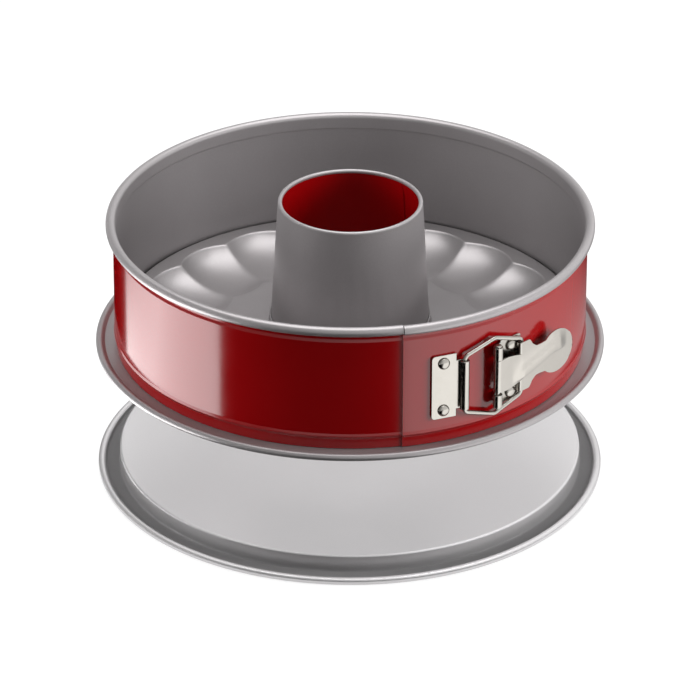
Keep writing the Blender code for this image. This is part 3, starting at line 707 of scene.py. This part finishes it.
root = PIN_R + FIT + LEVER_SHEET / 2
body_outline = [(x * MM, half * MM) for x, half in BODY]
ear_outline = rounded([(x * MM, half * MM) for x, half in EARS], [r * MM for r in EAR_FILLETS], closed=False)


def half_height(reach, outline):
    """Half the lever's height at a distance from the pin, between the points of its outline."""
    for first, second in zip(outline, outline[1:]):
        if first[0] <= reach <= second[0] and second[0] > first[0]:
            return first[1] + (second[1] - first[1]) * (reach - first[0]) / (second[0] - first[0])
    return math.sqrt(max(0.0, THUMB_R ** 2 - (reach - THUMB_REACH) ** 2))


def rib_level(reach, height):
    """Height of the pressed rib: its lower flank is a steep crease and its upper one runs out softly."""
    rising = min(max((reach - RIB_START[0]) / (RIB_START[1] - RIB_START[0]), 0.0), 1.0)
    falling = min(max((RIB_END[1] - reach) / (RIB_END[1] - RIB_END[0]), 0.0), 1.0)
    off = height + RIB_LOW - RIB_CLIMB * min(reach - EAR_START, RIB_RUN)
    across = math.exp(-(off / (RIB_CREASE if off < 0 else RIB_FLANK)) ** 2)
    return RIB_HEIGHT * rising * falling * across


def lever_row(bm, x, y, reach, half, ears):
    """Adds one line of vertices across the lever. From the ears on, some more on each side fill them."""
    inner = min(half, EAR_INNER) if ears else half
    heights = [inner * (k / ROWS_ACROSS) for k in range(-ROWS_ACROSS, ROWS_ACROSS + 1)]
    if ears:
        outer = [inner + (half - inner) * k / EAR_ROWS for k in range(1, EAR_ROWS + 1)]
        heights = [-z for z in reversed(outer)] + heights + outer
    return [bm.verts.new((x, y + (rib_level(reach, z) if reach else 0.0), z)) for z in heights]


bm = bmesh.new()
lines = []
for turn in map(math.radians, ROOT_TURNS):
    lines.append(lever_row(bm, root * math.cos(turn), root * math.sin(turn), 0.0, LEVER_BASE_HALF, False))
for reach in [BODY_FACET * k for k in range(int(EAR_START / BODY_FACET) + 1)] + [EAR_START]:
    lines.append(lever_row(bm, reach, root, reach, half_height(reach, body_outline), False))
ear_line = len(lines)
tip = THUMB_REACH + THUMB_R
reaches = [EAR_START + EAR_FACET * k for k in range(1, 20)]
reaches += [reaches[-1] + (tip - TIP - reaches[-1]) * k / 34 for k in range(1, 35)]
reaches += [tip - TIP * (1 - k / 8) ** 2 for k in range(1, 8)]
for reach in reaches:
    lines.append(lever_row(bm, reach, root, reach, half_height(reach, ear_outline), True))
for number, (first, second) in enumerate(zip(lines, lines[1:])):
    shared = second[EAR_ROWS:-EAR_ROWS] if number == ear_line - 1 else second
    for k in range(len(first) - 1):
        bm.faces.new((first[k], first[k + 1], shared[k + 1], shared[k]))

bends = [math.radians(degrees) for degrees in (30, 60, 90)]
hook_path = [(-HOOK_BEND * math.sin(bend), HOOK_BEND * (math.cos(bend) - 1.0)) for bend in bends]
hook_path.append((-HOOK_BEND, -LEVER_LIP))
for ear in (lines[ear_line][:EAR_ROWS + 1], lines[ear_line][-EAR_ROWS - 1:]):
    upper = ear
    for x, y in hook_path:
        lower = [bm.verts.new((reaches[0] + x, root + y, vert.co.z)) for vert in ear]
        for k in range(EAR_ROWS):
            bm.faces.new((upper[k], upper[k + 1], lower[k + 1], lower[k]))
        upper = lower
lever = new_piece("lever_stamping", bm, [nickel])
thicken(lever, LEVER_SHEET, LEVER_EDGE)
pin_place = polar(wall_r + PIN_RISE, PIN_AXIS, 0.0)
wire_degrees, wire_rise = WIRE_PLACES[2][:2]
along = (polar(wall_r + wire_rise, wire_degrees, 0.0) - pin_place).normalized()
outward = Vector((along.y, -along.x, 0.0))
axes = Matrix((along, outward, Vector((0.0, 0.0, 1.0)))).transposed().to_4x4()
lever.matrix_world = Matrix.Translation(pin_place + Vector((0.0, 0.0, latch_level + LEVER_PLAY))) @ axes
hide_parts("lever")
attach(lever, "lever")


# Lever pin
# A plain steel pin of 2.4 mm, plated like the rest of the latch. Both its ends are set into low heads outside
# the bracket's lugs, which keep it in place.

PIN_HEAD_R = 1.9 * MM
PIN_HEAD_H = 0.7 * MM
PIN_HEAD_FILLET = 0.5 * MM
PIN_FACETS = 48

end = LUG_OUTER + FIT
top = end + PIN_HEAD_H
fillet = arc((PIN_HEAD_R - PIN_HEAD_FILLET, top - PIN_HEAD_FILLET), PIN_HEAD_FILLET, 90, 0, 6)
half = [(0.0, top)] + fillet + [(PIN_HEAD_R, end), (PIN_R, end), (PIN_R, 0.0)]
outline = half + [(r, -z) for r, z in reversed(half[:-1])]
lever_pin = turned("lever_pin_rod", outline, [nickel], PIN_FACETS)
lever_pin.location = polar(wall_r + PIN_RISE, PIN_AXIS, latch_level)
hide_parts("lever_pin")
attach(lever_pin, "ring")


# Studio
# A floor that is white but for the mould's shadow, softboxes overhead and at both sides, and a lamp under the
# tin for the flat base, which looks photographed by itself. Cards that only reflections see lie on the floor,
# black all round, bright on the left and weaker on the right; a small black one hangs under the tube.

FLOOR_SIZE = 3.0
FLOOR_WHITE = 1.15               # of the floor as the camera and reflections see it
FLOOR_WHITE_SHARE = 0.7          # the rest of it is a matt surface that takes the shadow
FLOOR_BOUNCE = (0.2, 0.8)        # the matt surface as the mould is lit by it, and as it is seen
SKY_LIGHT = 0.22                 # what the surroundings add to the lamps
SKY_MIRRORED = (0.3, 1.1)        # and how bright reflections show them, from the left to the right
LAMP_AIM = (0.0, 0.0, 40 * MM)
LAMPS = (                        # name, place, width, power in watts, and whether reflections show it
    ("overhead_softbox", (0.0, 0.15, 1.1), 1.0, 10.0, True),
    ("left_softbox", (-1.5, -0.1, 0.45), 0.8, 20.0, False),
    ("right_softbox", (1.5, -0.3, 0.45), 0.8, 29.0, False),
    ("flat_base_light", (0.0, 0.0, 0.07), 0.28, 0.15, True),
)
TABLE = ((-0.7, -0.9), (0.7, -0.9), (0.7, 0.6), (-0.7, 0.6))
UNDER_TUBE = ((-0.05, -0.05), (0.05, -0.05), (0.05, 0.05), (-0.05, 0.05))
LEFT = ((-0.158, -0.148), (-0.6, -0.352), (-0.6, 0.529), (-0.302, 0.174), (-0.212, 0.067), (-0.15, 0.0))
RIGHT = (
    (0.0696, -0.2136), (0.39, -0.9), (0.7, -0.9), (0.7, 0.6),
    (0.05, 0.6), (0.1, 0.14), (0.15, 0.0), (0.1, -0.12),
)
CARDS = (                        # name, height, corners, strength in front, and where along Y it fades
    ("black_flag", 3 * MM, TABLE, 0.0, 0.0, 1.0),
    ("tube_flag", 73.5 * MM, UNDER_TUBE, 0.0, 0.0, 1.0),
    ("left_card", 4 * MM, LEFT, 5.4, -0.01, 0.23),
    ("right_card", 4 * MM, RIGHT, 1.8, -0.2, 0.24),
)


def seen_by(tree):
    """One for camera, mirrored and transmitted rays, which show the surroundings, and nought for the rest."""
    ray = add(tree, "ShaderNodeLightPath")
    direct = {0: ray.outputs["Is Camera Ray"], 1: ray.outputs["Is Glossy Ray"]}
    direct = add(tree, "ShaderNodeMath", direct, operation="ADD")
    direct = {0: direct.outputs[0], 1: ray.outputs["Is Transmission Ray"]}
    return add(tree, "ShaderNodeMath", direct, operation="ADD", use_clamp=True).outputs[0]


# Matt white table: bright and even to the camera, so that only the shadow shows on it
floor_finish = new_material("matt_white_table")
tree = floor_finish.node_tree
seen = seen_by(tree)
share = add(tree, "ShaderNodeMath", {0: seen, 1: FLOOR_WHITE_SHARE}, operation="MULTIPLY").outputs[0]
bounce = add(tree, "ShaderNodeMapRange", {"Value": seen, 3: FLOOR_BOUNCE[0], 4: FLOOR_BOUNCE[1]})
matt = add(tree, "ShaderNodeBsdfDiffuse", {"Color": bounce.outputs["Result"]}).outputs["BSDF"]
white = add(tree, "ShaderNodeEmission", {"Color": linear("#FFFFFF"), "Strength": FLOOR_WHITE})
mixed = add(tree, "ShaderNodeMixShader", {0: share, 1: matt, 2: white.outputs["Emission"]})
add(tree, "ShaderNodeOutputMaterial", {"Surface": mixed.outputs["Shader"]})

bm = bmesh.new()
bmesh.ops.create_circle(bm, cap_ends=True, segments=96, radius=FLOOR_SIZE)
floor = new_piece("floor", bm, [floor_finish])

world = bpy.data.worlds.new("studio")
bpy.context.scene.world = world
world.use_nodes = True
tree = world.node_tree
tree.nodes.clear()
way = add(tree, "ShaderNodeTexCoord").outputs["Generated"]
side = add(tree, "ShaderNodeSeparateXYZ", {0: way}).outputs["X"]
ends = {"Value": side, 1: -0.5, 2: 0.5, 3: SKY_MIRRORED[0], 4: SKY_MIRRORED[1]}
mirrored = add(tree, "ShaderNodeMapRange", ends).outputs["Result"]
straight = add(tree, "ShaderNodeLightPath").outputs["Is Camera Ray"]
white = add(tree, "ShaderNodeMath", {0: straight, 1: mirrored}, operation="MAXIMUM").outputs[0]
level = add(tree, "ShaderNodeMapRange", {"Value": seen_by(tree), 3: SKY_LIGHT, 4: white}).outputs["Result"]
sky = add(tree, "ShaderNodeBackground", {"Color": linear("#FFFFFF"), "Strength": level})
add(tree, "ShaderNodeOutputWorld", {"Surface": sky.outputs["Background"]})

for name, place, width, power, reflected in LAMPS:
    lamp = bpy.data.lights.new(name, "AREA")
    lamp.size = width
    lamp.energy = power
    holder = bpy.data.objects.new(name, lamp)
    bpy.context.scene.collection.objects.link(holder)
    holder.location = place
    holder.rotation_euler = (Vector(LAMP_AIM) - Vector(place)).to_track_quat("-Z", "Y").to_euler()
    holder.visible_glossy = reflected

# Black velvet and white board: flat and textureless, glowing evenly or less and less towards the back
for name, height, corners, strength, start, stop in CARDS:
    finish = new_material(name)
    tree = finish.node_tree
    place = add(tree, "ShaderNodeTexCoord").outputs["Object"]
    along = add(tree, "ShaderNodeSeparateXYZ", {0: place}).outputs["Y"]
    fade = add(tree, "ShaderNodeMapRange", {"Value": along, 1: start, 2: stop, 3: strength, 4: 0.0})
    glow = add(tree, "ShaderNodeEmission", {"Color": linear("#FFFFFF"), "Strength": fade.outputs["Result"]})
    add(tree, "ShaderNodeOutputMaterial", {"Surface": glow.outputs["Emission"]})
    finish.cycles.emission_sampling = "NONE"
    mesh = bpy.data.meshes.new(name)
    mesh.from_pydata([(x, y, height) for x, y in corners], [], [range(len(corners))])
    mesh.materials.append(finish)
    card = bpy.data.objects.new(name, mesh)
    bpy.context.scene.collection.objects.link(card)
    card.visible_camera = False
    card.visible_diffuse = False
    card.visible_transmission = False
    card.visible_shadow = False

bpy.context.scene.view_settings.view_transform = "Standard"
